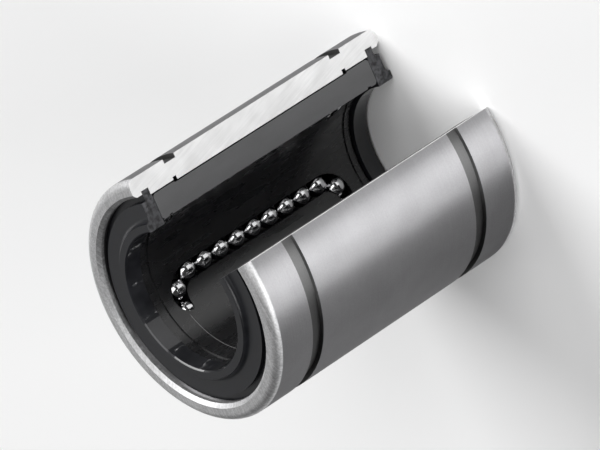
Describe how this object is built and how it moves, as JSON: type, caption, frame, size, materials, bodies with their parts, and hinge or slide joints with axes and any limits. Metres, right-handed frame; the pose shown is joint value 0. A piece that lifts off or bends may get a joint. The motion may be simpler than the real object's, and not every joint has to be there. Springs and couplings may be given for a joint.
{
  "type": "open linear ball bearing",
  "caption": "Open linear ball bearing: a slotted steel sleeve with a moulded retainer, recirculating balls and end seals that runs lengthwise on a round shaft held up by a rail.",
  "frame": {"origin": "on the shaft axis at mid length", "axes": "+Z along the shaft axis, up when the bearing stands on its end; the lengthwise opening faces -Y"},
  "size_m": [0.028, 0.0251, 0.037],
  "materials": {
    "sleeve_steel": "ground satin",
    "cage_resin": "satin moulded",
    "seal_rubber": "satin moulded",
    "ball_steel": "polished"
  },
  "bodies": {
    "bearing": {"outer_sleeve": "sleeve_steel", "ball_retainer": "cage_resin", "top_seal": "seal_rubber", "bottom_seal": "seal_rubber"},
    "near_right_load_row": {"near_right_load_row": "ball_steel"},
    "near_right_return_row": {"near_right_return_row": "ball_steel"},
    "near_right_top_turn_balls": {"near_right_top_turn_balls": "ball_steel"},
    "near_right_bottom_turn_balls": {"near_right_bottom_turn_balls": "ball_steel"},
    "near_left_load_row": {"near_left_load_row": "ball_steel"},
    "near_left_return_row": {"near_left_return_row": "ball_steel"},
    "near_left_top_turn_balls": {"near_left_top_turn_balls": "ball_steel"},
    "near_left_bottom_turn_balls": {"near_left_bottom_turn_balls": "ball_steel"},
    "far_right_load_row": {"far_right_load_row": "ball_steel"},
    "far_right_return_row": {"far_right_return_row": "ball_steel"},
    "far_right_top_turn_balls": {"far_right_top_turn_balls": "ball_steel"},
    "far_right_bottom_turn_balls": {"far_right_bottom_turn_balls": "ball_steel"},
    "far_left_load_row": {"far_left_load_row": "ball_steel"},
    "far_left_return_row": {"far_left_return_row": "ball_steel"},
    "far_left_top_turn_balls": {"far_left_top_turn_balls": "ball_steel"},
    "far_left_bottom_turn_balls": {"far_left_bottom_turn_balls": "ball_steel"}
  },
  "joints": [
    {"name": "near_right_load_travel", "type": "slide", "parent": "bearing", "child": "near_right_load_row", "axis": [0, 0, 1], "range_m": [0, 0.0025]},
    {"name": "near_right_return_travel", "type": "slide", "parent": "bearing", "child": "near_right_return_row", "axis": [0, 0, 1], "range_m": [-0.0025, 0]},
    {"name": "near_right_top_turn", "type": "hinge", "parent": "bearing", "child": "near_right_top_turn_balls", "pos_m": [0.00863, -0.00366, 0.01], "axis": [-0.8339, 0.5519, 0], "range_deg": [0, 60.01]},
    {"name": "near_right_bottom_turn", "type": "hinge", "parent": "bearing", "child": "near_right_bottom_turn_balls", "pos_m": [0.00863, -0.00366, -0.01], "axis": [-0.8339, 0.5519, 0], "range_deg": [0, 60.01]},
    {"name": "near_left_load_travel", "type": "slide", "parent": "bearing", "child": "near_left_load_row", "axis": [0, 0, 1], "range_m": [0, 0.0025]},
    {"name": "near_left_return_travel", "type": "slide", "parent": "bearing", "child": "near_left_return_row", "axis": [0, 0, 1], "range_m": [-0.0025, 0]},
    {"name": "near_left_top_turn", "type": "hinge", "parent": "bearing", "child": "near_left_top_turn_balls", "pos_m": [-0.00863, -0.00366, 0.01], "axis": [-0.8339, -0.5519, 0], "range_deg": [0, 60.01]},
    {"name": "near_left_bottom_turn", "type": "hinge", "parent": "bearing", "child": "near_left_bottom_turn_balls", "pos_m": [-0.00863, -0.00366, -0.01], "axis": [-0.8339, -0.5519, 0], "range_deg": [0, 60.01]},
    {"name": "far_right_load_travel", "type": "slide", "parent": "bearing", "child": "far_right_load_row", "axis": [0, 0, 1], "range_m": [0, 0.0025]},
    {"name": "far_right_return_travel", "type": "slide", "parent": "bearing", "child": "far_right_return_row", "axis": [0, 0, 1], "range_m": [-0.0025, 0]},
    {"name": "far_right_top_turn", "type": "hinge", "parent": "bearing", "child": "far_right_top_turn_balls", "pos_m": [0.00567, 0.00746, 0.01], "axis": [-0.7396, -0.673, 0], "range_deg": [0, 60.01]},
    {"name": "far_right_bottom_turn", "type": "hinge", "parent": "bearing", "child": "far_right_bottom_turn_balls", "pos_m": [0.00567, 0.00746, -0.01], "axis": [-0.7396, -0.673, 0], "range_deg": [0, 60.01]},
    {"name": "far_left_load_travel", "type": "slide", "parent": "bearing", "child": "far_left_load_row", "axis": [0, 0, 1], "range_m": [0, 0.0025]},
    {"name": "far_left_return_travel", "type": "slide", "parent": "bearing", "child": "far_left_return_row", "axis": [0, 0, 1], "range_m": [-0.0025, 0]},
    {"name": "far_left_top_turn", "type": "hinge", "parent": "bearing", "child": "far_left_top_turn_balls", "pos_m": [-0.00567, 0.00746, 0.01], "axis": [-0.7396, 0.673, 0], "range_deg": [0, 60.01]},
    {"name": "far_left_bottom_turn", "type": "hinge", "parent": "bearing", "child": "far_left_bottom_turn_balls", "pos_m": [-0.00567, 0.00746, -0.01], "axis": [-0.7396, 0.673, 0], "range_deg": [0, 60.01]}
  ],
  "couplings": [
    {"joint": "near_right_return_travel", "follows": "near_right_load_travel", "ratio": -1},
    {"joint": "near_right_top_turn", "follows": "near_right_load_travel", "rad_per_m": 418.88},
    {"joint": "near_right_bottom_turn", "follows": "near_right_load_travel", "rad_per_m": 418.88},
    {"joint": "near_left_return_travel", "follows": "near_left_load_travel", "ratio": -1},
    {"joint": "near_left_top_turn", "follows": "near_left_load_travel", "rad_per_m": 418.88},
    {"joint": "near_left_bottom_turn", "follows": "near_left_load_travel", "rad_per_m": 418.88},
    {"joint": "far_right_return_travel", "follows": "far_right_load_travel", "ratio": -1},
    {"joint": "far_right_top_turn", "follows": "far_right_load_travel", "rad_per_m": 418.88},
    {"joint": "far_right_bottom_turn", "follows": "far_right_load_travel", "rad_per_m": 418.88},
    {"joint": "far_left_return_travel", "follows": "far_left_load_travel", "ratio": -1},
    {"joint": "far_left_top_turn", "follows": "far_left_load_travel", "rad_per_m": 418.88},
    {"joint": "far_left_bottom_turn", "follows": "far_left_load_travel", "rad_per_m": 418.88}
  ]
}
